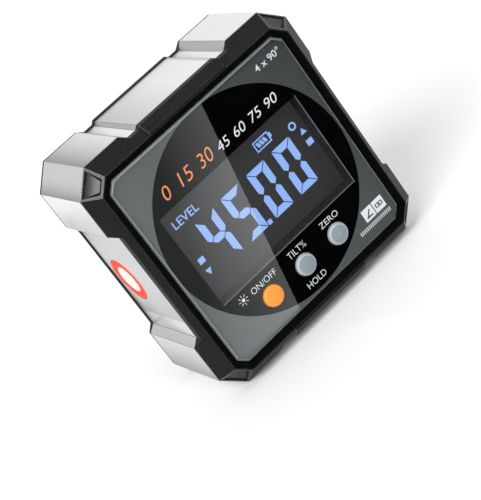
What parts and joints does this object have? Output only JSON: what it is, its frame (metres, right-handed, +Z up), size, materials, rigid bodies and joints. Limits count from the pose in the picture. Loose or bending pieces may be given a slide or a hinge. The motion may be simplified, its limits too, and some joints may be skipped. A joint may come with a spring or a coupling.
{
  "type": "digital angle gauge",
  "caption": "Square digital angle gauge: magnetic aluminium frame, lit display behind a bevelled window, push buttons, side laser apertures and a hinged battery door.",
  "frame": {"origin": "middle of the case's footprint, on the plane of the lower lands that it stands on", "axes": "+Z up the case, -Y out of the display, +X to the right as the display is read"},
  "size_m": [0.06, 0.031, 0.06],
  "materials": {
    "anodised_aluminium": "fine satin",
    "black_plastic": "fine moulded grain",
    "clear_window": "polished, bevelled edge",
    "grey_print": "printed film",
    "black_print": "printed film",
    "display_glass": "polished",
    "white_diffuser": "frosted",
    "contact_rubber": "matt",
    "orange_button": "soft gloss",
    "grey_button": "soft gloss",
    "black_resin": "moulded",
    "switch_steel": "plated",
    "board_resin": "solder mask",
    "brass": "turned",
    "red_ring": "soft gloss",
    "lead_sleeve": "smooth",
    "magnet_plating": "nickel plated",
    "cell_jacket": "plain printed jacket",
    "contact_spring": "nickel plated",
    "screw_steel": "blackened"
  },
  "bodies": {
    "case": {"frame": "anodised_aluminium", "front_bezel": "black_plastic", "window_lens": "clear_window", "corner_film": "grey_print", "dial_film": "black_print", "lcd_holder": "black_resin", "lcd_panel": "display_glass", "backlight": "white_diffuser", "contact_strips": "contact_rubber", "key_switches": "switch_steel", "main_board": "board_resin", "processor": "black_resin", "tilt_sensor": "black_resin", "left_laser": "brass", "right_laser": "brass", "left_aperture_ring": "red_ring", "right_aperture_ring": "red_ring", "left_aperture_lens": "clear_window", "right_aperture_lens": "clear_window", "laser_leads": "lead_sleeve", "magnets": "magnet_plating", "back_cover": "black_plastic", "left_cell": "cell_jacket", "right_cell": "cell_jacket", "bridge_contact": "contact_spring", "plus_contact": "contact_spring", "minus_contact": "contact_spring", "battery_leads": "lead_sleeve", "case_screws": "screw_steel"},
    "power_button": {"power_button": "orange_button", "power_plunger": "black_resin"},
    "hold_button": {"hold_button": "grey_button", "hold_plunger": "black_resin"},
    "zero_button": {"zero_button": "grey_button", "zero_plunger": "black_resin"},
    "battery_door": {"battery_door": "black_plastic"}
  },
  "joints": [
    {"name": "power_button_press", "type": "slide", "parent": "case", "child": "power_button", "axis": [0, 1, 0], "range_m": [0, 0.0004], "stiffness_N_per_m": 2000},
    {"name": "hold_button_press", "type": "slide", "parent": "case", "child": "hold_button", "axis": [0, 1, 0], "range_m": [0, 0.0004], "stiffness_N_per_m": 2000},
    {"name": "zero_button_press", "type": "slide", "parent": "case", "child": "zero_button", "axis": [0, 1, 0], "range_m": [0, 0.0004], "stiffness_N_per_m": 2000},
    {"name": "battery_door_hinge", "type": "hinge", "parent": "case", "child": "battery_door", "pos_m": [0, 0.0148, 0.0529], "axis": [1, 0, 0], "range_deg": [0, 75]}
  ]
}
